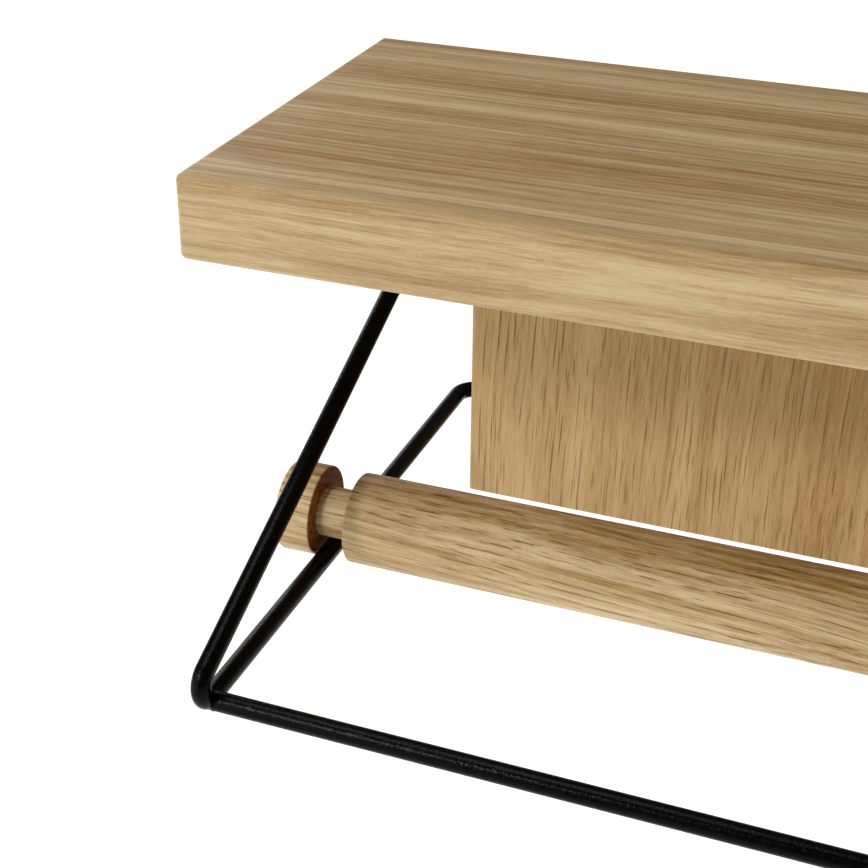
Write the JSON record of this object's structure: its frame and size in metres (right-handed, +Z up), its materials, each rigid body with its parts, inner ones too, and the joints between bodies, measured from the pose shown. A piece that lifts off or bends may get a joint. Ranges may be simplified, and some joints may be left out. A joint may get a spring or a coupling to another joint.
{
  "type": "wall shelf with hanging rod",
  "caption": "Wall-hung oak shelf on a short back panel, with a bent wire frame that carries a loose turned oak rod for a paper roll or towel.",
  "frame": {"origin": "centre of the back panel's rear face, on the wall plane", "axes": "+X along the shelf to the right as seen from the front, +Y into the wall, +Z up"},
  "size_m": [0.35, 0.185, 0.136],
  "materials": {
    "oak_shelf": "solid oak, planed and sanded, clear matt oil, grain along the shelf",
    "oak_panel": "solid oak, planed and sanded, clear matt oil, upright grain",
    "oak_rod": "solid oak, turned, clear matt oil, grain along the rod",
    "beech_dowel": "raw beech",
    "black_powder_coat": "satin black powder coat with a fine texture, on steel wire",
    "zinc_plated_steel": "bright zinc plate"
  },
  "bodies": {
    "shelf": {"shelf_board": "oak_shelf", "back_panel": "oak_panel", "panel_dowels": "beech_dowel", "wire_loop": "black_powder_coat", "loop_butt_weld": "black_powder_coat", "front_bar": "black_powder_coat", "bar_weld_left": "black_powder_coat", "bar_weld_right": "black_powder_coat", "hanger_plate_left": "zinc_plated_steel", "hanger_plate_right": "zinc_plated_steel", "hanger_plate_screws": "zinc_plated_steel", "bar_saddle_left": "zinc_plated_steel", "bar_saddle_right": "zinc_plated_steel", "bar_saddle_screws": "zinc_plated_steel"},
    "rod": {"hanging_rod": "oak_rod"}
  },
  "joints": [
    {"name": "rod_spin", "type": "hinge", "parent": "shelf", "child": "rod", "pos_m": [0, -0.1047, -0.02055], "axis": [1, 0, 0], "continuous": true}
  ]
}
